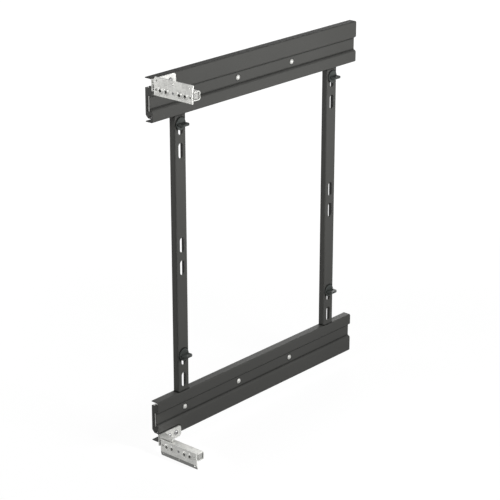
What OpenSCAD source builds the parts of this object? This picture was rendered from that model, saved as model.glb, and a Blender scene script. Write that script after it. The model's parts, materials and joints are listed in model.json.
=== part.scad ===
// Base unit pull-out frame: two rails on full-extension ball slides, joined by two slotted posts,
// with a front fixing bracket on each rail and four quarter-turn tray clips.
// Millimetres. X = 0 is the cabinet wall, Y runs along the rails with the front at -Y, and Z is up.
// The origin is the centre of the rectangle of the four cabinet fixing holes.

/* [Frame] */
// Length of the two rails, front to back
rail_length = 480; // [430:1:600]
// Height between the centres of the two ball slides
slide_pitch = 512; // [384:32:768]
// Gap between the cabinet wall and the moving frame
wall_gap = 0.6; // [0.4:0.1:1]

/* [Cabinet fixing] */
// Distance of the front fixing holes from the front end of the rails
fixing_setback = 35; // [28:1:45]
// Distance between the front and rear fixing holes
fixing_pitch = 352; // [320:32:352]
// Diameter of the fixing holes for system screws
fixing_hole_d = 6.5; // [4.5:0.1:7]

/* [Rails] */
// Height of a rail profile
rail_height = 68; // [60:0.5:76]
// Distance from the slide centre to the outer edge of the rail
rail_outer_reach = 38; // [33:0.5:42]
// Thickness of the rail sheet
rail_sheet = 1.4; // [1:0.1:1.6]
// Height of the flat floor of the recessed band
band_height = 19; // [16:0.5:21]
// Depth of the recessed band behind the rail face
band_depth = 4.4; // [3.6:0.1:5]
// Height of each sloping shoulder of the band
band_shoulder = 2.7; // [2.5:0.1:4]
// Inside radius of the rail bends
rail_bend_r = 0.8; // [0.4:0.1:1]

/* [Rail rivets] */
// Diameter of the rivet shanks
rivet_d = 5; // [4:0.1:5.5]
// Diameter of the domed rivet heads
rivet_head_d = 8.8; // [8:0.1:11]
// Height of the domed rivet heads
rivet_head_h = 2.4; // [2:0.1:3]
// Distance of the first rivet from the front end of the rails
rivet_setback = 65; // [60:1:75]
// Distance from rivet to rivet
rivet_pitch = 128; // [112:1:128]
// Number of rivets in each rail
rivet_count = 3; // [2:1:3]

/* [Posts] */
// Width of a post, along the rails
post_width = 24; // [22:0.5:26]
// Depth of a post, away from the cabinet wall
post_depth = 10.8; // [10:0.1:12]
// Thickness of the post sheet
post_sheet = 1.5; // [1:0.1:1.6]
// Inside radius of the post bends
post_bend_r = 0.8; // [0.4:0.1:1]
// Distance of the post face behind the rail face
post_recess = 2; // [1.6:0.1:2.4]
// Distance of the front post centre from the front end of the rails
front_post_setback = 61; // [55:1:70]
// Distance of the rear post centre from the rear end of the rails
rear_post_inset = 59; // [50:1:70]

/* [Post slots] */
// Width of the tray slots
slot_width = 9.2; // [8.9:0.1:9.4]
// Length of the tray slots
slot_length = 24; // [22:0.5:26]
// Distance between the two slots of a pair
slot_spacing = 37; // [34:0.5:40]
// Distance from the end of a post to the middle of the outer slot pair
slot_pair_inset = 38; // [36:0.5:60]

/* [Post rivets] */
// Diameter of the shanks of the post rivets
post_rivet_d = 4; // [3:0.1:4.5]
// Diameter of the heads of the post rivets
post_rivet_head_d = 7; // [6:0.1:7.4]
// Height of the heads of the post rivets
post_rivet_head_h = 1.6; // [1:0.1:2]
// Distance between the two rivets of a post foot
post_rivet_spacing = 10; // [9:0.1:11]

/* [Tray clips] */
// Diameter of the clip disc
clip_disc_d = 20; // [18:0.1:21]
// Thickness of the clip disc
clip_disc_t = 2.2; // [1.8:0.1:3]
// Width of the clip tongue
clip_tongue_w = 16.5; // [14:0.1:17]
// Length of the clip tongue beyond the disc
clip_tongue_l = 11.5; // [10:0.1:13]
// Thickness of the clip tongue
clip_tongue_t = 2.8; // [2.4:0.1:3.4]
// Radius of the outer corners of the clip tongue
clip_tongue_r = 5; // [3:0.1:6]
// Diameter of the clip neck that turns in the slot
clip_neck_d = 8.6; // [8:0.1:8.8]
// Length of the locking bar behind the post web
clip_bar_l = 17; // [14:0.1:17.4]
// Thickness of the locking bar
clip_bar_t = 2.4; // [2:0.1:3]
// Height of the clip centre above the middle of its slot
clip_rise = 5.5; // [4.5:0.1:6]

/* [Ball slides] */
// Height of the cabinet member
slide_height = 45.2; // [44:0.1:46]
// Thickness of the slide member sheets
member_sheet = 1.2; // [1:0.05:1.3]
// Depth of the inner member, over its web and arms
inner_depth = 4.6; // [4.2:0.1:5]
// Running gap between members and cages
running_gap = 0.2; // [0.15:0.05:0.25]
// Diameter of the steel balls
ball_d = 3.2; // [3:0.1:3.4]
// Depth of the ball grooves in the member arms
groove_depth = 0.25; // [0.15:0.05:0.3]
// Radial play of a ball in its grooves
ball_play = 0.05; // [0.03:0.01:0.08]
// Number of balls in each row
balls_per_row = 10; // [6:1:12]
// Length of the ball cages
cage_length = 240; // [200:1:240]
// Thickness of the cage sheets
cage_sheet = 0.5; // [0.4:0.05:0.5]
// Distance of the rear stops from the rear end of the members
stop_length = 6; // [4:0.5:8]

/* [Front caps] */
// Thickness of the plastic caps on the front end of the slides
cap_t = 1.6; // [1.2:0.1:3]
// Height of a cap
cap_height = 46.8; // [45.8:0.1:48]
// Distance of the middle of a cap below the slide centre
cap_drop = 0.8; // [0.4:0.1:1]
// Height of the ear beside the rail face, above the cap
cap_ear_h = 3.2; // [2:0.1:4]
// Width of the ear beside the rail face
cap_ear_w = 5; // [3:0.1:6]
// Width of the upright bar of a cap
cap_bar_w = 4.2; // [3.4:0.1:4.6]
// Top of the window above the slide centre
cap_window_top = 10; // [9:0.1:12]
// Bottom of the window below the slide centre
cap_window_bottom = 14; // [12:0.1:16]
// Size of the chamfer on the lower corner
cap_chamfer = 5; // [3:0.1:6]
// Diameter of the small hole near the foot of a cap
cap_hole_d = 3; // [2:0.1:3.5]
// Distance of the small hole from the foot and from the rail face
cap_hole_inset = 2.8; // [2.4:0.1:3.2]

/* [Front brackets] */
// Length of the bracket flange along the rail
flange_length = 49; // [44:0.5:56]
// Height of the bracket flange
flange_height = 18.5; // [18.5:0.1:20]
// Thickness of the bracket flange
flange_t = 2; // [1.6:0.1:2.4]
// Radius of the rear corners of the flange
flange_corner_r = 5; // [3:0.1:6]
// Reach of the arm away from the rail face
arm_reach = 84.5; // [80:0.5:100]
// Height of the arm channel
arm_height = 13.6; // [13.2:0.1:14]
// Depth of the arm channel, front to back
arm_depth = 13.4; // [12:0.1:15]
// Thickness of the arm sheet
arm_sheet = 1.5; // [1.3:0.1:1.6]
// Length of the lips that hold the slider in the channel
arm_lip = 2.2; // [2:0.1:2.3]
// Height of the middle of the arm above the screw row of the front plate
arm_rise = 2; // [1.8:0.1:2.2]
// Reach of the raised corner pad along the arm
pad_reach = 29; // [24:0.5:34]
// Set-back of the slanted end of the corner pad
pad_taper = 3; // [1:0.5:6]
// Distance of the upper screw row from the outer edge of the upper rail
upper_row_inset = 14; // [14:0.1:16]
// Distance of the lower screw row from the outer edge of the lower rail
lower_row_inset = 0; // [0:0.1:2]
// Distance of the front plate's face ahead of the rail front
plate_lead = 3; // [2.5:0.1:4]
// Gap between the arm channel and the front plate
plate_gap = 0.3; // [0.2:0.05:0.5]
// Sideways adjustment of the front plate, each way
side_adjust = 3; // [2:0.1:3]
// Height adjustment of the bracket, each way
height_adjust = 2; // [1:0.1:2]

/* [Bracket screws] */
// Diameter of the bracket screw shanks
screw_d = 4; // [3.5:0.1:4]
// Length of the bracket screws under the head
screw_length = 6.5; // [5:0.1:7]
// Diameter of the bracket screw heads
screw_head_d = 8; // [7:0.1:8.4]
// Height of the bracket screw heads
screw_head_h = 2.6; // [2:0.1:3]
// Distance of the front bracket screw from the front end of the rail
screw_setback = 22; // [20:0.5:24]
// Distance between the two bracket screws
screw_spacing = 15; // [12:0.5:16]
// Height of the bracket screws above the screw row of the front plate
screw_rise = 4.5; // [4.3:0.1:4.8]

/* [Front plates] */
// Width of a front plate
plate_width = 76.5; // [74:0.5:80]
// Distance of the front plate from the rail face
plate_offset = 7; // [6:0.1:8]
// Thickness of a front plate
plate_t = 2; // [1.6:0.1:2.2]
// Reach of the plate past the screw row on its short side
plate_short_reach = 9; // [8:0.1:10]
// Reach of the plate past the screw row on its long side
plate_long_reach = 18.3; // [17:0.1:20]
// Height of the turned-back strip on the long side
strip_height = 7; // [6:0.1:8]
// Angle of the turned-back strip
strip_angle = 14; // [6:1:18]
// Diameter of the front panel screw holes
panel_hole_d = 5; // [4:0.1:5.6]
// Diameter of the pressed bosses round the panel screw holes
boss_d = 10.8; // [9.5:0.1:10.8]
// Height of the pressed bosses above the face of the plate
boss_h = 1.4; // [0.4:0.1:1.6]
// Width of the flat rim round the hole on a boss
boss_rim = 0.7; // [0.4:0.1:1]
// Depth of the countersinks at the back of the bosses
boss_sink = 1.5; // [1:0.1:1.6]
// Distance of the inner panel screw holes from the middle of the plate
inner_hole_reach = 13.2; // [12.8:0.1:13.6]
// Distance of the outer panel screw holes from the middle of the plate
outer_hole_reach = 24.8; // [24.5:0.1:25.5]
// Distance of the small end holes from the middle of the plate
end_hole_reach = 33.6; // [33:0.1:34.5]
// Diameter of the small holes
small_hole_d = 3.4; // [2.5:0.1:3.8]
// Distance of the strip holes from the long edge of the plate
strip_hole_inset = 4.4; // [4:0.1:5]

/* [Sliders] */
// Length by which the slider is shorter than the front plate
slider_play = 0.6; // [0:0.1:8]
// Gap between the slider body and the web of the arm
slider_back_gap = 0.5; // [0.4:0.1:4]
// Chamfer along the back edges of the slider body
slider_chamfer = 1.2; // [1.2:0.1:2]
// Clearance of the slider in the channel
slider_clearance = 0.2; // [0.15:0.05:0.3]
// Diameter of the holes in the slider behind the panel screw holes
slider_hole_d = 3.6; // [3:0.1:4.4]
// Diameter of the countersunk plate screw
plate_screw_d = 3; // [2.5:0.1:3]
// Diameter of the head of the plate screw
plate_screw_head_d = 5.2; // [4.4:0.1:6.4]
// Length of the plate screw
plate_screw_length = 9; // [7:0.1:9.5]

/* [Hidden] */
$fn = 48;

// Small values that the pieces share
eps = 0.01;
cut = 1;
bend_steps = 4;
member_bend_r = 0.4;
cage_bend_r = 0.2;
arm_bend_r = 0.6;
fit_play = 0.05;
seat_gap = 0.1;
end_gap = 0.3;
outer_tip_reach = 4.5;
middle_tip_reach = 3;
outer_cage_reach = 2.6;
inner_cage_reach = 2;
tail_extra = 2;
rail_tail_h = 1;
post_tail_h = 1.2;
stop_gap = 1;
screw_play = 0.2;
cross_reach = 4.4;
cross_width = 1.1;
cross_depth = 1.5;
plate_cross_reach = 2.8;
plate_cross_width = 0.8;
plate_cross_depth = 1.2;
clip_disc_edge = 0.6;
clip_dish_r = 40;
clip_dish_depth = 0.5;
clip_dish_end = 1.5;
clip_rib_root_d = 13;
clip_rib_tip_d = 5;
clip_rib_end = 3;
clip_bar_round = 1;

// Colours
coat = [0.36, 0.36, 0.35];
zinc = [0.78, 0.79, 0.77];
steel = [0.7, 0.71, 0.72];
dark_plastic = [0.24, 0.25, 0.26];
clip_plastic = [0.27, 0.3, 0.3];
rubber_black = [0.12, 0.12, 0.12];

// Places along X, from the cabinet wall to the rail face
outer_cage_x = member_sheet + running_gap;
middle_x = outer_cage_x + cage_sheet + running_gap;
inner_cage_x = middle_x + member_sheet + running_gap;
inner_arm_x = inner_cage_x + cage_sheet + running_gap;
inner_face_x = inner_arm_x + inner_depth;
band_face_x = inner_face_x + rail_sheet;
rail_face_x = band_face_x + band_depth;
post_face_x = rail_face_x - post_recess;
ball_x = (inner_arm_x + inner_face_x) / 2;
outer_arm_tip = ball_x + outer_tip_reach;
middle_arm_tip = ball_x + middle_tip_reach;
outer_cage_tip = ball_x + outer_cage_reach;
inner_cage_tip = ball_x + inner_cage_reach;

// Heights above a slide centre
ball_seat = ball_d / 2 + ball_play - groove_depth;
outer_top = slide_height / 2;
outer_row = outer_top - member_sheet - ball_seat;
middle_top = outer_row - ball_seat;
inner_row = middle_top - member_sheet - ball_seat;
inner_top = inner_row - ball_seat;
rail_inner_reach = rail_height - rail_outer_reach;

// Places along Y
front_y = -(fixing_setback + fixing_pitch / 2);
rear_y = front_y + rail_length;
member_front_y = front_y + cap_t + end_gap;
middle_front_y = front_y + cap_t + member_sheet + 2 * end_gap;
members_end_y = rear_y - stop_length - end_gap;
cage_front_y = front_y + (rail_length - cage_length) / 2;
front_post_y = front_y + front_post_setback;
rear_post_y = rear_y - rear_post_inset;

// Heights of the posts, the slots and the front plates
post_length = slide_pitch - 2 * rail_inner_reach;
slot_pair_z = post_length / 2 - slot_pair_inset;
rail_top = slide_pitch / 2 + rail_outer_reach;
upper_row_z = rail_top - upper_row_inset;
lower_row_z = -rail_top + lower_row_inset;

// Front bracket, measured from the rail face, the rail front and the screw row of the plate
plate_front = -plate_lead;
plate_back = plate_front + plate_t;
plate_middle = plate_offset + plate_width / 2;
arm_front = plate_back + plate_gap;
arm_back = arm_front + arm_depth;
arm_top = arm_rise + arm_height / 2;
arm_bottom = arm_rise - arm_height / 2;
flange_bottom = arm_bottom - seat_gap;
flange_top = flange_bottom + flange_height;
strip_start = plate_long_reach - strip_height;
pad_front = arm_front + max(0, flange_top - strip_start) * tan(strip_angle);
slider_front = arm_front + arm_sheet + slider_clearance;
slider_back = arm_back - arm_sheet - slider_back_gap;
slider_length = plate_width - slider_play;
panel_hole_row = [-outer_hole_reach, -inner_hole_reach, inner_hole_reach, outer_hole_reach];

function unit(v) = v / norm(v);
function right_of(v) = [v[1], -v[0]];
function reversed(list) = [for (i = [len(list) - 1 : -1 : 0]) list[i]];

// Points of one bend of a sheet that lies on the right of the path a, b, c
function bend_arc(a, b, c, sheet, inside_r, back) =
    let (
        u = unit(b - a),
        w = unit(c - b),
        turn = atan2(u[0] * w[1] - u[1] * w[0], u * w),
        side = sign(turn),
        face_r = side < 0 ? inside_r + sheet : inside_r,
        back_r = side < 0 ? inside_r : inside_r + sheet,
        centre = b - u * face_r * tan(abs(turn) / 2) - side * face_r * right_of(u),
        start = atan2(u[1], u[0]) - side * 90,
        r = back ? back_r : face_r
    )
    [for (i = [0 : bend_steps])
        let (angle = start + turn * i / bend_steps)
        centre + r * [cos(angle), sin(angle)]];

// Outline of a bent sheet, from the sharp-cornered line of its outer face
function sheet_outline(path, sheet, inside_r) =
    let (
        last = len(path) - 1,
        start_side = right_of(unit(path[1] - path[0])),
        end_side = right_of(unit(path[last] - path[last - 1])),
        face = [for (i = [1 : last - 1])
            each bend_arc(path[i - 1], path[i], path[i + 1], sheet, inside_r, false)],
        back = [for (i = [last - 1 : -1 : 1])
            each reversed(bend_arc(path[i - 1], path[i], path[i + 1], sheet, inside_r, true))]
    )
    concat([path[0]], face, [path[last], path[last] + sheet * end_side], back, [path[0] + sheet * start_side]);

// Shapes that repeat
module along_y(y0, y1) {
    translate([0, y1, 0])
        rotate([90, 0, 0])
            linear_extrude(y1 - y0)
                children();
}

module along_x(x0, x1) {
    translate([x0, 0, 0])
        rotate([90, 0, 90])
            linear_extrude(x1 - x0)
                children();
}

module rod_x(d, x0, x1) {
    translate([x0, 0, 0])
        rotate([0, 90, 0])
            cylinder(d = d, h = x1 - x0);
}

module rod_y(d, y0, y1) {
    translate([0, y1, 0])
        rotate([90, 0, 0])
            cylinder(d = d, h = y1 - y0);
}

module slot_outline(width, length) {
    square([width, length - width], center = true);
    for (end = [-1, 1])
        translate([0, end * (length - width) / 2])
            circle(d = width);
}

// Low dome on the plane z = 0
module dome(d, h) {
    ball_r = (d * d / 4 + h * h) / (2 * h);
    intersection() {
        translate([0, 0, h - ball_r])
            sphere(r = ball_r, $fn = 96);
        cylinder(d = d, h = h + eps);
    }
}

module at_slide(level) {
    translate([0, 0, level * slide_pitch / 2])
        children();
}

// Ball slide members
module channel_outline(web_x, tip_x, top, sheet, bend_r) {
    polygon(sheet_outline([[tip_x, -top], [web_x, -top], [web_x, top], [tip_x, top]], sheet, bend_r));
}

module ball_grooves(row) {
    for (side = [-1, 1])
        translate([ball_x, side * row])
            circle(r = ball_d / 2 + ball_play);
}

module cabinet_member(level) {
    color(zinc)
        at_slide(level)
            difference() {
                along_y(member_front_y, rear_y)
                    difference() {
                        channel_outline(0, outer_arm_tip, outer_top, member_sheet, member_bend_r);
                        ball_grooves(outer_row);
                    }
                for (y = [-1, 1] * fixing_pitch / 2)
                    translate([0, y, 0])
                        rod_x(fixing_hole_d, -cut, member_sheet + cut);
            }
}

module middle_member(level) {
    color(steel)
        at_slide(level)
            along_y(middle_front_y, members_end_y)
                difference() {
                    channel_outline(middle_x, middle_arm_tip, middle_top, member_sheet, member_bend_r);
                    ball_grooves(outer_row);
                    ball_grooves(inner_row);
                }
}

// Inner member with its bent front tab and the holes of the rail rivets
module inner_member(level) {
    color(zinc)
        at_slide(level)
            difference() {
                union() {
                    along_y(front_y + cap_t, members_end_y)
                        difference() {
                            polygon(sheet_outline(
                                [[inner_arm_x, inner_top], [inner_face_x, inner_top],
                                 [inner_face_x, -inner_top], [inner_arm_x, -inner_top]],
                                member_sheet, member_bend_r));
                            ball_grooves(inner_row);
                        }
                    translate([inner_arm_x, front_y + cap_t, -cap_window_bottom + end_gap])
                        cube([inner_depth - eps, member_sheet, cap_window_bottom + cap_window_top]);
                }
                rail_rivet_places()
                    rod_x(rivet_d + 2 * fit_play, inner_arm_x, inner_face_x + cut);
            }
}

module cage_pockets(row) {
    for (side = [-1, 1])
        ball_places(row, side)
            cylinder(d = ball_d + 2 * running_gap, h = cage_sheet + 2 * cut, center = true);
}

module ball_places(row, side) {
    pocket_pitch = cage_length / balls_per_row;
    for (i = [0 : balls_per_row - 1])
        translate([ball_x, cage_front_y + (i + 0.5) * pocket_pitch, side * row])
            children();
}

module ball_cage(level, web_x, tip_x, row) {
    color(steel)
        at_slide(level)
            difference() {
                along_y(cage_front_y, cage_front_y + cage_length)
                    channel_outline(web_x, tip_x, row + cage_sheet / 2, cage_sheet, cage_bend_r);
                cage_pockets(row);
            }
}

module slide_balls(level, row) {
    color(steel)
        at_slide(level)
            for (side = [-1, 1])
                ball_places(row, side)
                    sphere(d = ball_d, $fn = 32);
}

// Rubber block that the closing slide meets
module rear_stop(level) {
    stop_half = inner_top - member_sheet - stop_gap;
    color(rubber_black)
        at_slide(level)
            translate([member_sheet, rear_y - stop_length, -stop_half])
                cube([inner_face_x - member_sheet - stop_gap, stop_length, 2 * stop_half]);
}

// Plastic cap over the front end of a slide, with a window in front of the tab
module front_cap(level) {
    top = cap_height / 2 - cap_drop;
    foot = -cap_height / 2 - cap_drop;
    face_back = rail_face_x - rail_sheet;
    shoulder_top = band_height / 2 + band_shoulder + rail_sheet;
    band_back = inner_face_x;
    window_x = wall_gap + cap_bar_w;
    color(dark_plastic)
        at_slide(level)
            along_y(front_y, front_y + cap_t)
                difference() {
                    polygon([
                        [wall_gap, top], [face_back - cap_ear_w, top], [face_back - cap_ear_w, top + cap_ear_h],
                        [face_back, top + cap_ear_h], [face_back, shoulder_top],
                        [band_back, shoulder_top - band_shoulder], [band_back, -shoulder_top + band_shoulder],
                        [face_back, -shoulder_top], [face_back, foot],
                        [wall_gap + cap_chamfer, foot], [wall_gap, foot + cap_chamfer],
                    ]);
                    translate([window_x, -cap_window_bottom])
                        square([band_back - window_x + eps, cap_window_bottom + cap_window_top]);
                    translate([face_back - cap_hole_inset, foot + cap_hole_inset])
                        circle(d = cap_hole_d);
                }
}

// Rails
module rail_rivet_places() {
    for (i = [0 : rivet_count - 1])
        translate([0, front_y + rivet_setback + i * rivet_pitch, 0])
            children();
}

module post_places() {
    for (y = [front_post_y, rear_post_y])
        translate([0, y, 0])
            children();
}

module post_rivet_places() {
    for (side = [-1, 1])
        translate([(wall_gap + post_face_x) / 2, side * post_rivet_spacing / 2, 0])
            children();
}

module rail_outline() {
    edge = band_height / 2;
    shoulder = edge + band_shoulder;
    polygon(sheet_outline(
        [[wall_gap, rail_outer_reach], [rail_face_x, rail_outer_reach],
         [rail_face_x, shoulder], [band_face_x, edge], [band_face_x, -edge], [rail_face_x, -shoulder],
         [rail_face_x, -rail_inner_reach], [wall_gap, -rail_inner_reach]],
        rail_sheet, rail_bend_r));
}

// Heights of the bracket screws above the slide centre of a level
function screw_z(level) = (level > 0 ? upper_row_z : lower_row_z) + screw_rise - level * slide_pitch / 2;

module bracket_screw_places() {
    for (i = [0, 1])
        translate([0, front_y + screw_setback + i * screw_spacing, 0])
            children();
}

module rail(level) {
    color(coat)
        at_slide(level)
            difference() {
                along_y(front_y, rear_y)
                    mirror([0, level > 0 ? 0 : 1])
                        rail_outline();
                rail_rivet_places()
                    rod_x(rivet_d + 2 * fit_play, inner_arm_x, band_face_x + cut);
                translate([0, 0, screw_z(level)])
                    bracket_screw_places()
                        rod_x(screw_d + 2 * fit_play, rail_face_x - rail_sheet - cut, rail_face_x + cut);
                post_places()
                    post_rivet_places()
                        translate([0, 0, -level * (rail_inner_reach - rail_sheet / 2)])
                            cylinder(d = post_rivet_d + 2 * fit_play, h = rail_sheet + 2 * cut, center = true);
            }
}

module rail_rivets(level) {
    rivet_seat_x = inner_face_x - member_sheet;
    color(zinc)
        at_slide(level)
            rail_rivet_places() {
                rod_x(rivet_d, rivet_seat_x - rail_tail_h / 2, band_face_x + eps);
                translate([band_face_x, 0, 0])
                    rotate([0, 90, 0])
                        dome(rivet_head_d, rivet_head_h);
                rod_x(rivet_d + tail_extra, rivet_seat_x - rail_tail_h, rivet_seat_x);
            }
}

// Posts
module post_slots() {
    for (pair = [-1, 0, 1], side = [-1, 1])
        translate([0, 0, pair * slot_pair_z + side * slot_spacing / 2])
            along_x(post_face_x - post_sheet - cut, post_face_x + cut)
                slot_outline(slot_width, slot_length);
}

module post_foot(level) {
    foot_z = level * (post_length - post_sheet) / 2;
    foot_x = wall_gap + post_sheet;
    inner_width = post_width - post_sheet;
    translate([foot_x, -inner_width / 2, foot_z - post_sheet / 2])
        cube([post_face_x - post_sheet / 2 - foot_x, inner_width, post_sheet]);
}

module post(y) {
    color(coat)
        translate([0, y, 0])
            difference() {
                union() {
                    translate([0, 0, -post_length / 2])
                        linear_extrude(post_length)
                            polygon(sheet_outline(
                                [[post_face_x - post_depth, post_width / 2], [post_face_x, post_width / 2],
                                 [post_face_x, -post_width / 2], [post_face_x - post_depth, -post_width / 2]],
                                post_sheet, post_bend_r));
                    post_foot(1);
                    post_foot(-1);
                }
                post_slots();
                post_rivet_places()
                    for (level = [-1, 1])
                        translate([0, 0, level * (post_length - post_sheet) / 2])
                            cylinder(d = post_rivet_d + 2 * fit_play, h = post_sheet + 2 * cut, center = true);
            }
}

// Rivets with the head inside the rail and the tail inside the post
module post_rivets(y) {
    color(coat)
        translate([0, y, 0])
            post_rivet_places()
                for (level = [-1, 1])
                    mirror([0, 0, level > 0 ? 0 : 1])
                        translate([0, 0, post_length / 2]) {
                            translate([0, 0, -post_sheet - post_tail_h])
                                cylinder(d = post_rivet_d + tail_extra, h = post_tail_h);
                            translate([0, 0, -post_sheet - post_tail_h / 2])
                                cylinder(d = post_rivet_d, h = post_sheet + rail_sheet + post_tail_h / 2 + eps);
                            translate([0, 0, rail_sheet])
                                dome(post_rivet_head_d, post_rivet_head_h);
                        }
}

// Quarter-turn tray clip: disc, tongue, rib, neck and locking bar
module clip_tongue() {
    tongue_tip = clip_disc_t + clip_tongue_l;
    translate([0, 0, -clip_tongue_t / 2])
        difference() {
            linear_extrude(clip_tongue_t)
                intersection() {
                    translate([clip_disc_t / 2, -clip_tongue_w / 2])
                        square([clip_disc_t / 2 + clip_tongue_l, clip_tongue_w]);
                    union() {
                        square([2 * (tongue_tip - clip_tongue_r), clip_tongue_w], center = true);
                        square([2 * tongue_tip, clip_tongue_w - 2 * clip_tongue_r], center = true);
                        for (side = [-1, 1])
                            translate([tongue_tip - clip_tongue_r, side * (clip_tongue_w / 2 - clip_tongue_r)])
                                circle(r = clip_tongue_r);
                    }
                }
            translate([clip_disc_t, 0, clip_tongue_t + clip_dish_r - clip_dish_depth])
                rotate([0, 90, 0])
                    cylinder(r = clip_dish_r, h = clip_tongue_l - clip_dish_end, $fn = 96);
        }
}

module tray_clip(y, level) {
    rib_l = clip_tongue_l - clip_rib_end;
    bar_back = -post_sheet - 2 * seat_gap;
    slot_z = level * slot_pair_z + slot_spacing / 2;
    color(clip_plastic)
        translate([post_face_x + seat_gap, y, slot_z + clip_rise]) {
            rod_x(clip_disc_d, 0, clip_disc_t - clip_disc_edge);
            translate([clip_disc_t - clip_disc_edge, 0, 0])
                rotate([0, 90, 0])
                    cylinder(d1 = clip_disc_d, d2 = clip_disc_d - 2 * clip_disc_edge, h = clip_disc_edge);
            clip_tongue();
            difference() {
                translate([clip_disc_t - eps, 0, 0])
                    rotate([0, 90, 0])
                        cylinder(d1 = clip_rib_root_d, d2 = clip_rib_tip_d, h = rib_l);
                translate([0, -clip_disc_d / 2, 0])
                    cube([clip_disc_t + rib_l + cut, clip_disc_d, clip_disc_d]);
            }
            rod_x(clip_neck_d, bar_back - clip_bar_t, eps);
            along_x(bar_back - clip_bar_t, bar_back)
                intersection() {
                    square([clip_bar_l, clip_neck_d], center = true);
                    circle(d = clip_bar_l + clip_bar_round);
                }
        }
}

// Front brackets, in their own frame at the rail face, the rail front and the screw row
module at_row(level) {
    translate([rail_face_x, front_y, level > 0 ? upper_row_z : lower_row_z])
        children();
}

module flange_outline() {
    r = flange_corner_r;
    translate([arm_front, flange_bottom])
        square([flange_length - arm_front - r, flange_height]);
    translate([arm_front, flange_bottom + r])
        square([flange_length - arm_front, flange_height - 2 * r]);
    for (z = [flange_bottom + r, flange_top - r])
        translate([flange_length - r, z])
            circle(r = r);
}

module bracket(level) {
    slot_w = screw_d + 2 * screw_play;
    color(zinc)
        at_row(level)
            union() {
                difference() {
                    along_x(0, flange_t)
                        flange_outline();
                    for (i = [0, 1])
                        translate([0, screw_setback + i * screw_spacing, screw_rise])
                            along_x(-cut, flange_t + cut)
                                slot_outline(slot_w, slot_w + 2 * height_adjust);
                }
                along_x(flange_t - eps, arm_reach)
                    polygon(sheet_outline(
                        [[arm_front, arm_top - arm_lip], [arm_front, arm_top], [arm_back, arm_top],
                         [arm_back, arm_bottom], [arm_front, arm_bottom], [arm_front, arm_bottom + arm_lip]],
                        arm_sheet, arm_bend_r));
                translate([0, 0, arm_top - eps])
                    linear_extrude(flange_top - arm_top + eps)
                        polygon([[0, pad_front], [pad_reach, pad_front],
                                 [pad_reach - pad_taper, arm_front + arm_depth / 2], [0, arm_back]]);
            }
}

module bracket_screws(level) {
    color(steel)
        translate([rail_face_x, 0, level * slide_pitch / 2 + screw_z(level)])
            bracket_screw_places() {
                rod_x(screw_d, flange_t + seat_gap - screw_length, flange_t + seat_gap + eps);
                difference() {
                    translate([flange_t + seat_gap, 0, 0])
                        rotate([0, 90, 0])
                            dome(screw_head_d, screw_head_h);
                    translate([flange_t + seat_gap + screw_head_h - cross_depth, 0, 0])
                        rotate([0, 90, 0])
                            cross_recess(cross_reach, cross_width, cross_depth + eps);
                }
            }
}

// Zinc slider that carries the front plate in the arm channel
module slider(level) {
    body_bottom = arm_bottom + arm_sheet + slider_clearance;
    body_top = arm_top - arm_sheet - slider_clearance;
    neck_bottom = arm_bottom + arm_lip + slider_clearance;
    neck_top = arm_top - arm_lip - slider_clearance;
    neck_length = 2 * (end_hole_reach - small_hole_d);
    color(zinc)
        at_row(level)
            difference() {
                union() {
                    along_x(plate_middle - slider_length / 2, plate_middle + slider_length / 2)
                        polygon([[slider_front, body_bottom], [slider_back - slider_chamfer, body_bottom],
                                 [slider_back, body_bottom + slider_chamfer], [slider_back, body_top - slider_chamfer],
                                 [slider_back - slider_chamfer, body_top], [slider_front, body_top]]);
                    translate([plate_middle - neck_length / 2, plate_back, neck_bottom])
                        cube([neck_length, slider_front - plate_back + cut, neck_top - neck_bottom]);
                }
                translate([plate_middle, 0, 0])
                    rod_y(plate_screw_d + 2 * fit_play, plate_back - cut, slider_back + cut);
                for (reach = panel_hole_row)
                    translate([plate_middle + reach, 0, 0])
                        rod_y(slider_hole_d, plate_back - cut, slider_back + cut);
            }
}

// Front plate with its screw row and the turned-back strip on the long side
module front_plate(level) {
    strip_set = strip_height * tan(strip_angle);
    color(zinc)
        at_row(level)
            mirror([0, 0, level > 0 ? 1 : 0])
                difference() {
                    union() {
                        along_x(plate_offset, plate_offset + plate_width)
                            polygon([[plate_front, plate_short_reach], [plate_back, plate_short_reach],
                                     [plate_back, -strip_start], [plate_back + strip_set, -plate_long_reach],
                                     [plate_front + strip_set, -plate_long_reach], [plate_front, -strip_start]]);
                        for (reach = panel_hole_row)
                            translate([plate_middle + reach, plate_front + eps, 0])
                                rotate([90, 0, 0])
                                    cylinder(d1 = boss_d, d2 = panel_hole_d + 2 * boss_rim, h = boss_h + eps);
                    }
                    for (reach = panel_hole_row)
                        translate([plate_middle + reach, 0, 0]) {
                            rod_y(panel_hole_d, plate_front - boss_h - cut, plate_back + cut);
                            translate([0, plate_back, 0])
                                rotate([90, 0, 0])
                                    cylinder(d1 = panel_hole_d + 2 * boss_sink, d2 = panel_hole_d, h = boss_sink);
                        }
                    for (side = [-1, 1])
                        translate([plate_middle + side * end_hole_reach, 0, 0])
                            rod_y(small_hole_d, plate_front - cut, plate_back + cut);
                    for (side = [-1, 0, 1])
                        translate([plate_middle + side * end_hole_reach, 0, strip_hole_inset - plate_long_reach])
                            rod_y(small_hole_d, plate_front - cut, plate_back + strip_set + cut);
                    translate([plate_middle, 0, 0])
                        plate_screw_shape(fit_play);
                }
}

// Cross recess, cut from the plane z = 0
module cross_recess(reach, width, depth) {
    for (turn = [0, 90])
        rotate([0, 0, turn])
            translate([-reach / 2, -width / 2, 0])
                cube([reach, width, depth]);
}

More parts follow.
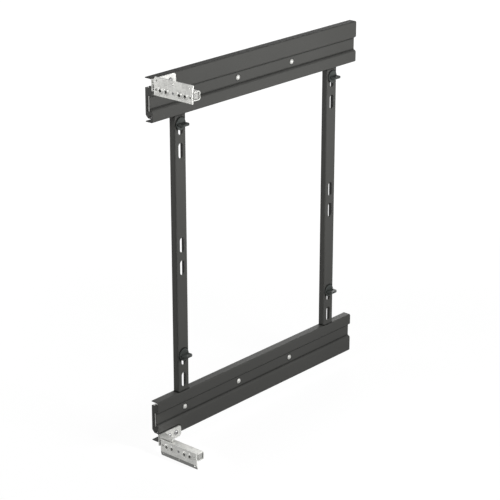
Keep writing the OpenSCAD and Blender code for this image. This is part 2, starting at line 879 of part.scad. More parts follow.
// Countersunk screw shape, grown by the given play, head flush with the plate face
module plate_screw_shape(play) {
    head_h = (plate_screw_head_d - plate_screw_d) / 2;
    translate([0, plate_front, 0])
        rotate([-90, 0, 0]) {
            cylinder(d1 = plate_screw_head_d + 2 * play, d2 = plate_screw_d + 2 * play, h = head_h);
            cylinder(d = plate_screw_d + 2 * play, h = plate_screw_length);
        }
}

module plate_screw(level) {
    color(steel)
        at_row(level)
            translate([plate_middle, 0, 0])
                difference() {
                    plate_screw_shape(0);
                    translate([0, plate_front - eps, 0])
                        rotate([-90, 0, 0])
                            cross_recess(plate_cross_reach, plate_cross_width, plate_cross_depth);
                }
}

// Upper and lower levels are +1 and -1
cabinet_member(1);  // upper_cabinet_member
cabinet_member(-1);  // lower_cabinet_member
rear_stop(1);  // upper_rear_stop
rear_stop(-1);  // lower_rear_stop
ball_cage(1, outer_cage_x, outer_cage_tip, outer_row);  // upper_outer_cage
ball_cage(-1, outer_cage_x, outer_cage_tip, outer_row);  // lower_outer_cage
slide_balls(1, outer_row);  // upper_outer_balls
slide_balls(-1, outer_row);  // lower_outer_balls
middle_member(1);  // upper_middle_member
middle_member(-1);  // lower_middle_member
ball_cage(1, inner_cage_x, inner_cage_tip, inner_row);  // upper_inner_cage
ball_cage(-1, inner_cage_x, inner_cage_tip, inner_row);  // lower_inner_cage
slide_balls(1, inner_row);  // upper_inner_balls
slide_balls(-1, inner_row);  // lower_inner_balls
inner_member(1);  // upper_inner_member
inner_member(-1);  // lower_inner_member
front_cap(1);  // upper_front_cap
front_cap(-1);  // lower_front_cap
rail(1);  // upper_rail
rail(-1);  // lower_rail
rail_rivets(1);  // upper_rail_rivets
rail_rivets(-1);  // lower_rail_rivets
post(front_post_y);  // front_post
post(rear_post_y);  // rear_post
post_rivets(front_post_y);  // front_post_rivets
post_rivets(rear_post_y);  // rear_post_rivets
bracket(1);  // upper_bracket
bracket(-1);  // lower_bracket
bracket_screws(1);  // upper_bracket_screws
bracket_screws(-1);  // lower_bracket_screws
slider(1);  // upper_slider
slider(-1);  // lower_slider
front_plate(1);  // upper_front_plate
front_plate(-1);  // lower_front_plate
plate_screw(1);  // upper_plate_screw
plate_screw(-1);  // lower_plate_screw
tray_clip(front_post_y, 1);  // front_upper_clip
tray_clip(front_post_y, -1);  // front_lower_clip
tray_clip(rear_post_y, 1);  // rear_upper_clip
tray_clip(rear_post_y, -1);  // rear_lower_clip
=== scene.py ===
"""Finish, softened fittings and studio of the base unit pull-out frame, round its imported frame."""

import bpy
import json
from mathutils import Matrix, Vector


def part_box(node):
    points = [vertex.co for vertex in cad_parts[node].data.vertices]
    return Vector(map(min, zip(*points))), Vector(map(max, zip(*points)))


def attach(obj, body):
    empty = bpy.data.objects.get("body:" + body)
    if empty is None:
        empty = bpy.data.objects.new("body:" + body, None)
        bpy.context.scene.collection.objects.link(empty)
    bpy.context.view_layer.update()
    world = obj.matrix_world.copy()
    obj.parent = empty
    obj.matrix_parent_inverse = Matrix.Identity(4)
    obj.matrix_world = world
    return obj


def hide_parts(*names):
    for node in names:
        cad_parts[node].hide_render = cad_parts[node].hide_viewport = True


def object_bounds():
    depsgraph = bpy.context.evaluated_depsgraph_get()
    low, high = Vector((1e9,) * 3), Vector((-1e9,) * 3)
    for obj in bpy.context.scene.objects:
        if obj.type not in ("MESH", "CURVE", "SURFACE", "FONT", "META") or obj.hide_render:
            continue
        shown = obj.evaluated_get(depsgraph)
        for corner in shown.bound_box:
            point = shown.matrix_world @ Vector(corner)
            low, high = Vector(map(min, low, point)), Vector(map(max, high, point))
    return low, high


bl_info = {
    "name": "Pull-out frame dresser",
    "version": (1, 0, 0),
    "blender": (4, 5, 0),
    "location": "3D View > Sidebar > Frame",
    "description": "Finishes the pull-out frame's rails, posts, slides, brackets and clips, "
                   "and sets up its studio",
    "category": "3D View",
}

import json
import math

import bmesh
import bpy
from bpy.props import FloatProperty, FloatVectorProperty, PointerProperty
from mathutils import Vector

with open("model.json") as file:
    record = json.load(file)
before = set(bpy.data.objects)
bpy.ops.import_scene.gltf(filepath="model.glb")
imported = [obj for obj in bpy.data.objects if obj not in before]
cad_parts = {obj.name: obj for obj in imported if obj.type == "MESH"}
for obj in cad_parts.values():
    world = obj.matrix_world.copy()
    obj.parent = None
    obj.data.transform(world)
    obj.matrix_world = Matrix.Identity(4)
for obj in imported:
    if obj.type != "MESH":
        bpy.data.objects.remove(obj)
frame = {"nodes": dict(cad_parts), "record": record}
NODES = frame["nodes"]
CAD_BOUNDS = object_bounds()
BODIES = frame["record"]["behaviour"]["bodies"]
BODY_OF = {node: body for body, nodes in BODIES.items() for node in nodes}

MM = 0.001
LEVELS = ("upper", "lower")
ENDS = ("front", "rear")

# Softened pieces: points nearer than WELD are one, faces that turn less than FLAT are one
# face, and edges that turn more than SHARP are rounded.
WELD = 0.001 * MM
FLAT = math.radians(0.6)
SHARP = math.radians(32)
ROUNDING_STEPS = 2

# Finishes: how a pattern is stretched, where a small number draws it out along that axis,
# then the samples and limits of the masks for edges and for the painted shade in creases and on the
# strip.
EVEN = (1.0, 1.0, 1.0)
ALONG_X = (0.05, 1.0, 1.0)
ALONG_Y = (1.0, 0.04, 1.0)
DRAWN_Y = (1.0, 0.02, 1.0)
SMEARED_Y = (1.0, 0.3, 1.0)
EDGE_SAMPLES = 6
CREASE_SAMPLES = 12
EDGE_TURN = (0.01, 0.25)
OPEN_FACE = 0.97
STRIP_BLUR = 0.2 * MM
STRIP_LEAN = (0.1, 0.2)

# Studio: the picture is square and PHOTO_SIDE pixels wide. Lengths are in metres.
PHOTO_SIDE = 500
SENSOR = 36.0
FAR_CLIP = 100
WHITE = (1.0, 1.0, 1.0)
FLOOR_HALF_SIDE = 30.0
FLOOR_BOUNCE = (0.2, 0.2, 0.2)
FLOOR_SHADED = (0.95, 0.95, 0.95)
FLOOR_GLOW = 1.07
SHADOW_REACH = (0.5, 1.8)
SHADOW_FADE = (0.87, 1.0)
ROOM_HEIGHTS = (0.1, 0.9)
# For each softbox: its name, the height of its aim over the frame's middle, its own place
# measured from the aim, and its side.
SOFTBOXES = (
    ("side", 0.27, (0.75, 0.1, 0.02), 0.4),
    ("front", 0.0, (0.12, -1.25, 0.55), 0.4),
    ("back", 0.0, (-1.1, -0.6, 0.2), 0.6),
    ("rear", 0.0, (-0.8, 1.2, 0.15), 0.6),
)
# The spotlight aims at the top of the lower slider, at that share of its width. SPOT_FROM
# is its own place, measured from the aim.
SPOT_AIM = 0.7
SPOT_FROM = (0.37, 0.1, 0.31)
SPOT_CONE = math.radians(12)
SPOT_BLEND = 0.7
SPOT_RADIUS = 0.03


class CoatSettings(bpy.types.PropertyGroup):
    """Powder coat of the rails and posts"""

    colour: FloatVectorProperty(
        name="Coat colour", description="Anthracite of the powder coat",
        subtype="COLOR", default=(0.104, 0.104, 0.099), min=0, max=1)
    roughness: FloatProperty(
        name="Coat roughness", description="How matt the powder coat is",
        default=0.55, min=0, max=1, subtype="FACTOR")
    grain: FloatProperty(
        name="Coat grain", description="Size of one grain of the coat's texture",
        default=0.45 * MM, min=0.1 * MM, max=2 * MM, unit="LENGTH")
    # Partly wear, partly a painted highlight along the bends and edges.
    edge_wear: FloatProperty(
        name="Edge wear", description="How much lighter the coat is along its edges",
        default=0.35, min=0, max=1, subtype="FACTOR")
    # Painted shade: how much darker the coat is made in its creases, and how far from them.
    crease: FloatProperty(
        name="Crease depth", description="How much darker the coat is in its creases",
        default=0.9, min=0, max=1, subtype="FACTOR")
    crease_reach: FloatProperty(
        name="Crease reach", description="How far from a crease the coat is darker",
        default=3 * MM, min=1 * MM, max=30 * MM, unit="LENGTH")


class MetalSettings(bpy.types.PropertyGroup):
    """Zinc plate and bright steel"""

    zinc: FloatVectorProperty(
        name="Zinc colour", description="Colour of the bright zinc plate",
        subtype="COLOR", default=(0.72, 0.72, 0.69), min=0, max=1)
    zinc_roughness: FloatProperty(
        name="Zinc roughness", description="How dull the zinc plate is",
        default=0.4, min=0, max=1, subtype="FACTOR")
    spangle: FloatProperty(
        name="Spangle size", description="Size of one crystal of the zinc",
        default=2.6 * MM, min=0.5 * MM, max=20 * MM, unit="LENGTH")
    steel: FloatVectorProperty(
        name="Steel colour", description="Colour of the bare slide steel",
        subtype="COLOR", default=(0.5, 0.5, 0.5), min=0, max=1)
    mill_line: FloatProperty(
        name="Mill line width", description="Width of the rolling lines in the sheet",
        default=0.35 * MM, min=0.1 * MM, max=2 * MM, unit="LENGTH")
    sheet_edge: FloatProperty(
        name="Sheet edge", description="Rounding of the edges of the pressed zinc sheet",
        default=0.3 * MM, min=0.05 * MM, max=0.6 * MM, unit="LENGTH")
    # Painted shade: height of the strip at the foot of the lower plate whose downward faces are
    # painted darker.
    strip: FloatProperty(
        name="Dull strip", description="Height of the duller strip at the foot of the lower plate",
        default=7 * MM, min=1 * MM, max=20 * MM, unit="LENGTH")
    head_edge: FloatProperty(
        name="Head edge", description="Rounding of the edges of rivets and screws",
        default=0.14 * MM, min=0.05 * MM, max=0.3 * MM, unit="LENGTH")


class PlasticSettings(bpy.types.PropertyGroup):
    """Moulded caps, clips and rubber stops"""

    cap: FloatVectorProperty(
        name="Cap colour", description="Dark grey of the slide caps",
        subtype="COLOR", default=(0.066, 0.066, 0.062), min=0, max=1)
    clip: FloatVectorProperty(
        name="Clip colour", description="Greenish anthracite of the tray clips",
        subtype="COLOR", default=(0.066, 0.073, 0.069), min=0, max=1)
    rubber: FloatVectorProperty(
        name="Rubber colour", description="Black of the rear stops",
        subtype="COLOR", default=(0.02, 0.02, 0.02), min=0, max=1)
    spark: FloatProperty(
        name="Spark texture", description="Grain size of the eroded mould texture",
        default=0.4 * MM, min=0.1 * MM, max=2 * MM, unit="LENGTH")
    clip_edge: FloatProperty(
        name="Clip edge", description="Rounding of the edges of the tray clips",
        default=0.45 * MM, min=0.1 * MM, max=0.8 * MM, unit="LENGTH")
    cap_edge: FloatProperty(
        name="Cap edge", description="Rounding of the edges of the caps and stops",
        default=0.25 * MM, min=0.1 * MM, max=0.5 * MM, unit="LENGTH")


class StudioSettings(bpy.types.PropertyGroup):
    """Camera, lamps and backdrop"""

    eye: FloatVectorProperty(
        name="Camera place", description="Where the camera stands",
        subtype="TRANSLATION", default=(1.7975, -2.0194, 0.9769))
    azimuth: FloatProperty(
        name="Camera azimuth", description="Direction of the view, from +Y towards -X",
        subtype="ANGLE", default=math.radians(41.369))
    elevation: FloatProperty(
        name="Camera elevation", description="How far the view looks down",
        subtype="ANGLE", default=math.radians(20.517))
    focal_pixels: FloatProperty(
        name="Focal length", description="Focal length in pixels of the square picture",
        default=1800, min=100)
    side_power: FloatProperty(
        name="Side lamp", description="Power of the lamp beside the frame",
        default=6.1, min=0, unit="POWER")
    front_power: FloatProperty(
        name="Front lamp", description="Power of the lamp before the frame",
        default=3.3, min=0, unit="POWER")
    back_power: FloatProperty(
        name="Back lamp", description="Power of the lamp on the wall side",
        default=5.0, min=0, unit="POWER")
    rear_power: FloatProperty(
        name="Rear lamp", description="Power of the lamp behind the frame",
        default=7.0, min=0, unit="POWER")
    spot_power: FloatProperty(
        name="Bracket spot", description="Power of the spotlight on the lower bracket",
        default=10.0, min=0, unit="POWER")
    room: FloatProperty(
        name="Room light", description="Strength of the room's light from the sides",
        default=0.09, min=0, max=2)
    ceiling: FloatProperty(
        name="Ceiling light", description="Strength of the room's light from above",
        default=0.02, min=0, max=2)
    floor_gap: FloatProperty(
        name="Floor gap", description="Gap between the lowest piece and the floor",
        default=0.2 * MM, min=0, unit="LENGTH")


class Wire:
    """A socket in a finish, with the arithmetic that the finishes use."""

    def __init__(self, finish, socket):
        self.finish = finish
        self.socket = socket

    def _math(self, operation, *values):
        return self.finish.add("ShaderNodeMath", {"operation": operation}, *values)

    def __add__(self, other):
        return self._math("ADD", self, other)

    __radd__ = __add__

    def __sub__(self, other):
        return self._math("SUBTRACT", self, other)

    def __rsub__(self, other):
        return self._math("SUBTRACT", other, self)

    def __mul__(self, other):
        return self._math("MULTIPLY", self, other)

    __rmul__ = __mul__


class Finish:
    """A procedural material, or the room's light, and the nodes that it is made of."""

    def __init__(self, tree, output="ShaderNodeOutputMaterial"):
        self.tree = tree
        tree.nodes.clear()
        self.output = tree.nodes.new(output)

    @classmethod
    def material(cls, name, slot=None):
        """The finish of a new material, which keeps the name of the record's slot."""
        made = bpy.data.materials.new(name)
        made.use_nodes = True
        finish = cls(made.node_tree)
        finish.made = made
        finish.slot = slot
        return finish

    def link(self, socket, value):
        """Links a wire to a socket, or sets its value."""
        if isinstance(value, Wire):
            self.tree.links.new(value.socket, socket)
        elif socket.type == "RGBA":
            socket.default_value = (*value, 1.0)
        else:
            socket.default_value = value

    def add(self, kind, settings=None, *values, out=0, **named):
        """A node of that kind: its settings first, then its sockets in order or by name."""
        node = self.tree.nodes.new(kind)
        for key, value in (settings or {}).items():
            setattr(node, key, value)
        for socket, value in zip(node.inputs, values):
            self.link(socket, value)
        for key, value in named.items():
            self.link(self.find(node.inputs, key), value)
        found = self.find(node.outputs, out) if isinstance(out, str) else node.outputs[out]
        return Wire(self, found)

    @staticmethod
    def find(sockets, key):
        """The enabled socket whose name is the key, with spaces for underscores."""
        wanted = key.replace("_", " ").lower()
        for socket in sockets:
            if socket.enabled and socket.name.lower() == wanted:
                return socket
        raise KeyError(f"no socket {wanted!r}")

    def place(self, stretch=EVEN):
        """Object coordinates, stretched along the axes."""
        here = self.add("ShaderNodeTexCoord", out="Object")
        if stretch == EVEN:
            return here
        return self.add("ShaderNodeMapping", None, here, Scale=stretch)

    def noise(self, size, detail=2.0, stretch=EVEN, roughness=0.5):
        """Soft noise from 0 to 1 whose blots are about that size, in metres."""
        return self.add("ShaderNodeTexNoise", None, Vector=self.place(stretch), Scale=1.0 / size,
                        Detail=detail, Roughness=roughness)

    def cells(self, size):
        """A random number for each cell of about that size, as in zinc spangle."""
        colour = self.add("ShaderNodeTexVoronoi", None, Vector=self.place(), Scale=1.0 / size,
                          out="Color")
        return colour * 1.0  # the product is a number, where the cell's own is a colour

    def step(self, value, low, high, to_low=0.0, to_high=1.0):
        """Smooth step from to_low to to_high as a value goes from low to high."""
        return self.add("ShaderNodeMapRange", {"interpolation_type": "SMOOTHSTEP"},
                        value, low, high, to_low, to_high)

    def mix(self, factor, a, b):
        """Colour a at factor 0, colour b at factor 1."""
        return self.add("ShaderNodeMix", {"data_type": "RGBA"}, out=2, Factor=factor, A=a, B=b)

    def rounded(self, radius):
        """Normal of the surface with its edges rounded by that radius."""
        return self.add("ShaderNodeBevel", {"samples": EDGE_SAMPLES}, Radius=radius)

    def edges(self, radius):
        """1 along the edges within that radius, 0 away from them."""
        flat = self.add("ShaderNodeNewGeometry", out="Normal")
        likeness = self.add("ShaderNodeVectorMath", {"operation": "DOT_PRODUCT"},
                            self.rounded(radius), flat, out="Value")
        return self.step(1 - likeness, *EDGE_TURN)

    def creases(self, reach, deep=0.55):
        """1 deep in a crease, 0 on an open face, by ambient occlusion: the mask of painted shade; a
        higher deep also darkens shallow creases.
        """
        open_sky = self.add("ShaderNodeAmbientOcclusion", {"samples": CREASE_SAMPLES},
                            Distance=reach, out="AO")
        return 1 - self.step(open_sky, deep, OPEN_FACE)

    def height(self, vector):
        """The upward part of a vector."""
        return self.add("ShaderNodeSeparateXYZ", None, vector, out="Z")

    def turned_back(self, top):
        """1 on the faces under that height that lean downwards, 0 on the others."""
        height = self.height(self.place())
        under = self.step(height, top - STRIP_BLUR, top + STRIP_BLUR, 1.0, 0.0)
        normal = self.add("ShaderNodeNewGeometry", out="True Normal")
        return under * self.step(0 - self.height(normal), *STRIP_LEAN)

    def relief(self, height, depth, strength, over=None):
        """Normal of a relief of that depth, in metres, laid over another normal."""
        wires = {"Height": height, "Strength": strength, "Distance": depth}
        if over is not None:
            wires["Normal"] = over
        return self.add("ShaderNodeBump", None, **wires)

    def close(self, shader):
        """Closes the finish with that shader."""
        self.link(self.output.inputs["Surface"], shader)
        return self

    def surface(self, **sockets):
        """Closes the finish with a Principled shader."""
        return self.close(self.add("ShaderNodeBsdfPrincipled", None, **sockets))

    def put_on(self, *pieces):
        """Gives the finish to the pieces."""
        for piece in pieces:
            piece.data.materials.clear()
            piece.data.materials.append(self.made)


def shade(colour, factor):
    """A colour made lighter or darker."""
    return tuple(min(1.0, part * factor) for part in colour)


def powder_coat(settings):
    """Anthracite powder coat: orange peel, grain, faint clouds, painted shade in the creases, and
    edges made lighter, partly by wear and partly by a painted highlight.
    """
    f = Finish.material("powder coat", "coat")
    clouds = f.noise(90 * MM, detail=3)
    grain = f.noise(settings.grain, detail=3, roughness=0.6)
    peel = f.noise(6 * settings.grain, detail=1)
    edges = f.edges(1.4 * MM)
    creases = f.creases(settings.crease_reach, deep=0.86)
    # Lighter edges: where the noise is high this is wear; the rest, along every convex edge and
    # bend, is a painted highlight.
    wear = f.step(f.noise(9 * MM, detail=4), 0.35, 0.65, 0.45, 1.0)
    rubbed = edges * wear * (1 - creases) * settings.edge_wear
    coat = settings.colour
    body = f.mix(f.step(clouds, 0.3, 0.7), shade(coat, 0.95), shade(coat, 1.05))
    speckled = f.mix(f.step(grain, 0.3, 0.7), shade(coat, 0.9), body)
    # Painted shade: the coat is darkened in its creases, where shade falls.
    creased = f.mix(creases * settings.crease, speckled, shade(coat, 0.15))
    worn = f.mix(rubbed, creased, shade(coat, 2.2))
    dull = settings.roughness + (clouds - 0.5) * 0.1 + (grain - 0.5) * 0.16 - rubbed * 0.1
    bumps = grain * 0.6 + peel * 0.8
    normal = f.relief(bumps, depth=0.05 * MM, strength=0.5, over=f.rounded(0.5 * MM))
    return f.surface(Base_Color=worn, Roughness=dull, Specular_IOR_Level=0.07, Normal=normal)


def zinc_plate(settings, name, run=ALONG_Y, bright=1.0, crease_shade=0.3, strip_top=None):
    """Bright zinc plate over rolled sheet: mill lines along the run, spangle and specks, painted
    shade in its creases and a painted highlight along its edges.

    Below strip_top, a height, the faces that lean downwards are painted darker: painted shade that
    stands for a dark reflection.
    """
    f = Finish.material(name, "zinc")
    colour = shade(settings.zinc, bright)
    lines = f.noise(settings.mill_line, detail=2, stretch=run, roughness=0.6)
    clouds = f.noise(6 * settings.spangle, detail=4, roughness=0.6)
    spangle = f.cells(settings.spangle)
    specks = f.noise(0.5 * settings.spangle, detail=3)
    edges = f.edges(0.5 * MM)
    body = f.mix(f.step(clouds, 0.35, 0.65), shade(colour, 0.84), shade(colour, 1.08))
    spangled = f.mix(f.step(spangle, 0.2, 0.8) * 0.5, body, shade(colour, 1.16))
    lined = f.mix(f.step(lines, 0.3, 0.75) * 0.3, spangled, shade(colour, 0.86))
    spotted = f.mix(f.step(specks, 0.6, 0.72) * 0.45, lined, shade(colour, 0.7))
    # Painted shade: the zinc is darkened in its creases and hollows, by ambient occlusion.
    shade_painted = f.mix(f.creases(3 * MM) * crease_shade, spotted, shade(colour, 0.3))
    # Painted shade: below strip_top the downward-leaning faces are darkened, standing for a dark
    # reflection.
    if strip_top is not None:
        shade_painted = f.mix(f.turned_back(strip_top) * 0.95, shade_painted, shade(colour, 0.28))
    # Painted highlight: the convex edges are made lighter.
    edge_highlit = f.mix(edges * 0.45, shade_painted, shade(colour, 1.3))
    dull = settings.zinc_roughness + (clouds - 0.5) * 0.2 + (spangle - 0.5) * 0.14
    dull += (lines - 0.5) * 0.1
    bumps = lines * 0.6 + specks * 0.4
    normal = f.relief(bumps, depth=0.02 * MM, strength=0.4, over=f.rounded(0.25 * MM))
    return f.surface(Base_Color=edge_highlit, Metallic=0.35, Roughness=dull, Normal=normal)


def slide_steel(settings):
    """Bare cold-rolled steel of the slides, drawn lengthwise, with a trace of grease."""
    f = Finish.material("slide steel", "steel")
    lines = f.noise(settings.mill_line, detail=2, stretch=DRAWN_Y, roughness=0.6)
    smear = f.step(f.noise(22 * MM, detail=4, stretch=SMEARED_Y), 0.5, 0.68)
    body = f.mix(f.step(lines, 0.3, 0.75) * 0.5, settings.steel, shade(settings.steel, 0.8))
    greasy = f.mix(smear * 0.45, body, shade(settings.steel, 0.62))
    dull = 0.34 + (lines - 0.5) * 0.14 - smear * 0.1
    normal = f.relief(lines, depth=0.02 * MM, strength=0.3, over=f.rounded(0.25 * MM))
    return f.surface(Base_Color=greasy, Metallic=0.85, Roughness=dull, Normal=normal)


def screw_steel(settings):
    """Darker pressed steel of the screws, with painted shade in the recesses and a painted highlight
    along the edges.
    """
    f = Finish.material("screw steel", "steel")
    specks = f.noise(0.6 * MM, detail=3)
    edges = f.edges(0.3 * MM)
    steel = settings.steel
    body = f.mix(f.step(specks, 0.35, 0.7) * 0.4, shade(steel, 0.75), shade(steel, 0.5))
    # Painted shade: darker in the recesses, by ambient occlusion.
    recess_shaded = f.mix(f.creases(1.6 * MM) * 0.9, body, shade(steel, 0.1))
    # Painted highlight: the edges are made lighter.
    bright = f.mix(edges * 0.5, recess_shaded, shade(steel, 1.5))
    dull = 0.36 + (specks - 0.5) * 0.2
    normal = f.relief(specks, depth=0.02 * MM, strength=0.4)
    return f.surface(Base_Color=bright, Metallic=0.7, Roughness=dull, Normal=normal)


def moulded(name, slot, colour, spark, roughness=0.5):
    """Moulded plastic with an eroded mould texture, painted shade in its creases and paler rubbed
    edges.
    """
    f = Finish.material(name, slot)
    pits = f.noise(spark, detail=3, roughness=0.65)
    flow = f.noise(12 * MM, detail=3)
    rubbed = f.edges(0.5 * MM) * f.step(f.noise(4 * MM, detail=3), 0.35, 0.65)
    body = f.mix(f.step(flow, 0.3, 0.7), shade(colour, 0.93), shade(colour, 1.1))
    pitted = f.mix(f.step(pits, 0.45, 0.75) * 0.4, body, shade(colour, 0.7))
    # Painted shade: darker in the creases, by ambient occlusion.
    creased = f.mix(f.creases(4 * MM) * 0.5, pitted, shade(colour, 0.3))
    worn = f.mix(rubbed * 0.3, creased, shade(colour, 2.0))
    dull = roughness + (flow - 0.5) * 0.12 + (pits - 0.5) * 0.1
    normal = f.relief(pits, depth=0.04 * MM, strength=0.5, over=f.rounded(0.3 * MM))
    return f.surface(Base_Color=worn, Roughness=dull, Specular_IOR_Level=0.18, Normal=normal)


def softened(name, radius):
    """A copy of a CAD node whose edges are rounded, which stands for the node."""
    source = bmesh.new()
    source.from_mesh(NODES[name].data)
    bmesh.ops.remove_doubles(source, verts=source.verts, dist=WELD)
    bmesh.ops.dissolve_limit(source, angle_limit=FLAT, verts=source.verts, edges=source.edges)
    source.verts.index_update()
    mesh = bpy.data.meshes.new(name + "_soft")
    mesh.from_pydata([vert.co for vert in source.verts], [],
                     [[vert.index for vert in face.verts] for face in source.faces])
    source.free()
    mesh.shade_smooth()
    piece = bpy.data.objects.new(name + "_soft", mesh)
    bpy.context.scene.collection.objects.link(piece)
    bevel = piece.modifiers.new("soft edges", "BEVEL")
    bevel.width = radius
    bevel.segments = ROUNDING_STEPS
    bevel.limit_method = "ANGLE"
    bevel.angle_limit = SHARP
    bevel.miter_outer = "MITER_ARC"
    bevel.harden_normals = True
    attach(piece, BODY_OF[name])
    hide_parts(name)
    return piece


def aim(light, name, place, target):
    """Hangs a light at a place, turned to a point."""
    box = bpy.data.objects.new(name, light)
    box.location = place
    box.rotation_euler = (Vector(target) - Vector(place)).to_track_quat("-Z", "Y").to_euler()
    bpy.context.scene.collection.objects.link(box)


def lamp(name, place, target, side, power):
    """A square softbox that looks at a point."""
    light = bpy.data.lights.new(name, "AREA")
    light.shape = "SQUARE"
    light.size = side
    light.energy = power
    aim(light, name, place, target)


def spot(name, place, target, power):
    """A narrow, soft-edged spotlight that looks at a point."""
    light = bpy.data.lights.new(name, "SPOT")
    light.spot_size = SPOT_CONE
    light.spot_blend = SPOT_BLEND
    light.shadow_soft_size = SPOT_RADIUS
    light.energy = power
    aim(light, name, place, target)


def studio_camera(settings):
    """The camera, at the photograph's viewing angle."""
    data = bpy.data.cameras.new("camera")
    data.sensor_width = SENSOR
    data.lens = settings.focal_pixels / PHOTO_SIDE * SENSOR
    data.clip_end = FAR_CLIP
    camera = bpy.data.objects.new("camera", data)
    camera.location = settings.eye
    camera.rotation_euler = (math.pi / 2 - settings.elevation, 0, settings.azimuth)
    bpy.context.scene.collection.objects.link(camera)
    bpy.context.scene.camera = camera


def seen(f):
    """1 for the rays that should see the plain backdrop: camera, glossy and transmitted ones."""
    rays = [f.add("ShaderNodeLightPath", out=name) for name in
            ("Is Camera Ray", "Is Glossy Ray", "Is Transmission Ray")]
    return f.add("ShaderNodeMath", {"operation": "MINIMUM"}, rays[0] + rays[1] + rays[2], 1.0)


def pale_floor(height):
    """A plain white floor that keeps the object's soft shadow."""
    mesh = bpy.data.meshes.new("floor")
    signs = ((-1, -1), (1, -1), (1, 1), (-1, 1))
    corners = [(x * FLOOR_HALF_SIDE, y * FLOOR_HALF_SIDE, height) for x, y in signs]
    mesh.from_pydata(corners, [], [(0, 1, 2, 3)])
    floor = bpy.data.objects.new("floor", mesh)
    bpy.context.scene.collection.objects.link(floor)
    f = Finish.material("white floor")
    bounce = f.add("ShaderNodeBsdfDiffuse", None, Color=FLOOR_BOUNCE)
    shadowed = f.add("ShaderNodeBsdfDiffuse", None, Color=FLOOR_SHADED)
    lit = f.add("ShaderNodeEmission", None, Color=WHITE, Strength=FLOOR_GLOW)
    away = f.add("ShaderNodeVectorMath", {"operation": "LENGTH"}, f.place(), out="Value")
    glow = f.step(away, *SHADOW_REACH, *SHADOW_FADE)
    pale = f.add("ShaderNodeMixShader", None, glow, shadowed, lit)
    f.close(f.add("ShaderNodeMixShader", None, seen(f), bounce, pale))
    floor.data.materials.append(f.made)


def room_light(settings):
    """White room for the eye, and for dull surfaces a dimmer one that is darker overhead."""
    world = bpy.data.worlds.new("room")
    bpy.context.scene.world = world
    world.use_nodes = True
    f = Finish(world.node_tree, "ShaderNodeOutputWorld")
    height = f.height(f.add("ShaderNodeTexCoord", out="Generated"))
    level = f.step(height, *ROOM_HEIGHTS, settings.room, settings.ceiling)
    dim = f.add("ShaderNodeBackground", None, WHITE, level)
    white = f.add("ShaderNodeBackground", None, WHITE, 1.0)
    f.close(f.add("ShaderNodeMixShader", None, seen(f), dim, white))


class FRAME_OT_coat(bpy.types.Operator):
    """Coats the rails, the posts and the post rivets"""

    bl_idname = "pullframe.coat"
    bl_label = "Coat rails and posts"

    def execute(self, context):
        finish = powder_coat(context.scene.pullframe_coat)
        names = [f"{level}_rail" for level in LEVELS]
        names += [f"{end}_{piece}" for end in ENDS for piece in ("post", "post_rivets")]
        finish.put_on(*(NODES[name] for name in names))
        return {"FINISHED"}


class FRAME_OT_slides(bpy.types.Operator):
    """Finishes the ball slides behind the rails"""

    bl_idname = "pullframe.slides"
    bl_label = "Finish ball slides"

    ZINC = ("cabinet_member", "inner_member")
    STEEL = ("middle_member", "outer_cage", "outer_balls", "inner_cage", "inner_balls")

    def execute(self, context):
        metal = context.scene.pullframe_metal
        zinc = zinc_plate(metal, "slide zinc")
        steel = slide_steel(metal)
        for level in LEVELS:
            zinc.put_on(*(NODES[f"{level}_{piece}"] for piece in self.ZINC))
            steel.put_on(*(NODES[f"{level}_{piece}"] for piece in self.STEEL))
        return {"FINISHED"}


class FRAME_OT_brackets(bpy.types.Operator):
    """Softens and finishes the front brackets, their sliders and their plates"""

    bl_idname = "pullframe.brackets"
    bl_label = "Finish brackets"

    def execute(self, context):
        metal = context.scene.pullframe_metal
        zinc = zinc_plate(metal, "bracket zinc", run=ALONG_X, bright=0.96, crease_shade=0.75)
        plate = zinc_plate(metal, "plate zinc", run=ALONG_X, crease_shade=0.0)
        # The foot of the lower plate gets painted shade up to this height.
        strip_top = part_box("lower_front_plate")[0][2] + metal.strip
        shade_painted_plate = zinc_plate(metal, "lower plate zinc", run=ALONG_X, crease_shade=0.0,
                                strip_top=strip_top)
        plate.put_on(softened("upper_front_plate", metal.sheet_edge))
        shade_painted_plate.put_on(softened("lower_front_plate", metal.sheet_edge))
        cast = zinc_plate(metal, "cast zinc", run=EVEN, bright=0.5)
        for level in LEVELS:
            zinc.put_on(softened(f"{level}_bracket", metal.sheet_edge))
            cast.put_on(softened(f"{level}_slider", metal.sheet_edge))
        return {"FINISHED"}


class FRAME_OT_fasteners(bpy.types.Operator):
    """Softens and finishes the rivets and screws"""

    bl_idname = "pullframe.fasteners"
    bl_label = "Finish rivets and screws"

    def execute(self, context):
        metal = context.scene.pullframe_metal
        rivet = zinc_plate(metal, "rivet zinc", run=EVEN, bright=0.95)
        screw = screw_steel(metal)
        for level in LEVELS:
            rivet.put_on(softened(f"{level}_rail_rivets", metal.head_edge))
            screw.put_on(*(softened(f"{level}_{piece}", metal.head_edge)
                           for piece in ("bracket_screws", "plate_screw")))
        return {"FINISHED"}


class FRAME_OT_plastics(bpy.types.Operator):
    """Softens and finishes the slide caps, the tray clips and the rear stops"""

    bl_idname = "pullframe.plastics"
    bl_label = "Finish caps and clips"

    def execute(self, context):
        plastic = context.scene.pullframe_plastic
        cap = moulded("cap plastic", "cap_plastic", tuple(plastic.cap), plastic.spark)
        clip = moulded("clip plastic", "clip_plastic", tuple(plastic.clip), plastic.spark)
        rubber = moulded("stop rubber", "rubber", tuple(plastic.rubber), 2 * plastic.spark,
                         roughness=0.7)
        cap.put_on(*(softened(f"{level}_front_cap", plastic.cap_edge) for level in LEVELS))
        clip.put_on(*(softened(f"{end}_{level}_clip", plastic.clip_edge)
                      for end in ENDS for level in LEVELS))
        rubber.put_on(*(softened(f"{level}_rear_stop", plastic.cap_edge) for level in LEVELS))
        return {"FINISHED"}


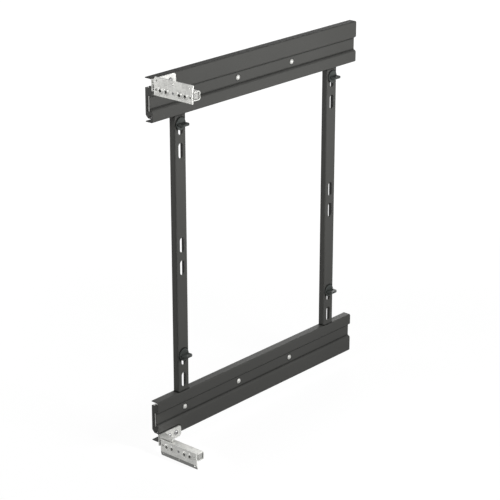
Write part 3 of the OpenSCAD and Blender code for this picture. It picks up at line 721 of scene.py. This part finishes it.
class FRAME_OT_studio(bpy.types.Operator):
    """Sets up the floor, the lamps, the room and the camera"""

    bl_idname = "pullframe.studio"
    bl_label = "Set up studio"

    def execute(self, context):
        settings = context.scene.pullframe_studio
        studio_camera(settings)
        pale_floor(CAD_BOUNDS[0].z - settings.floor_gap)
        middle = (CAD_BOUNDS[0] + CAD_BOUNDS[1]) / 2
        for name, rise, offset, side in SOFTBOXES:
            aim_point = middle + Vector((0, 0, rise))
            power = getattr(settings, f"{name}_power")
            lamp(f"{name} softbox", aim_point + Vector(offset), aim_point, side, power)
        low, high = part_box("lower_slider")
        arm = Vector((low[0] + SPOT_AIM * (high[0] - low[0]), (low[1] + high[1]) / 2, high[2]))
        spot("bracket spot", arm + Vector(SPOT_FROM), arm, settings.spot_power)
        room_light(settings)
        context.scene.view_settings.view_transform = "Standard"
        return {"FINISHED"}


class FRAME_PT_panel(bpy.types.Panel):
    """Sizes, colours and steps of the pull-out frame"""

    bl_idname = "FRAME_PT_panel"
    bl_label = "Pull-out frame"
    bl_space_type = "VIEW_3D"
    bl_region_type = "UI"
    bl_category = "Frame"

    def draw(self, context):
        column = self.layout.column()
        for name, group in GROUPS.items():
            box = column.box()
            settings = getattr(context.scene, name)
            for key in group.__annotations__:
                box.prop(settings, key)
        for operator in OPERATORS:
            column.operator(operator.bl_idname)


GROUPS = {
    "pullframe_coat": CoatSettings,
    "pullframe_metal": MetalSettings,
    "pullframe_plastic": PlasticSettings,
    "pullframe_studio": StudioSettings,
}
OPERATORS = (
    FRAME_OT_coat,
    FRAME_OT_slides,
    FRAME_OT_brackets,
    FRAME_OT_fasteners,
    FRAME_OT_plastics,
    FRAME_OT_studio,
)
CLASSES = (*GROUPS.values(), *OPERATORS, FRAME_PT_panel)


def register():
    for cls in CLASSES:
        bpy.utils.register_class(cls)
    for name, group in GROUPS.items():
        setattr(bpy.types.Scene, name, PointerProperty(type=group))


def unregister():
    for name in GROUPS:
        delattr(bpy.types.Scene, name)
    for cls in reversed(CLASSES):
        bpy.utils.unregister_class(cls)


def main():
    register()
    bpy.ops.pullframe.coat()
    bpy.ops.pullframe.slides()
    bpy.ops.pullframe.brackets()
    bpy.ops.pullframe.fasteners()
    bpy.ops.pullframe.plastics()
    bpy.ops.pullframe.studio()


if __name__ == "__main__":
    main()
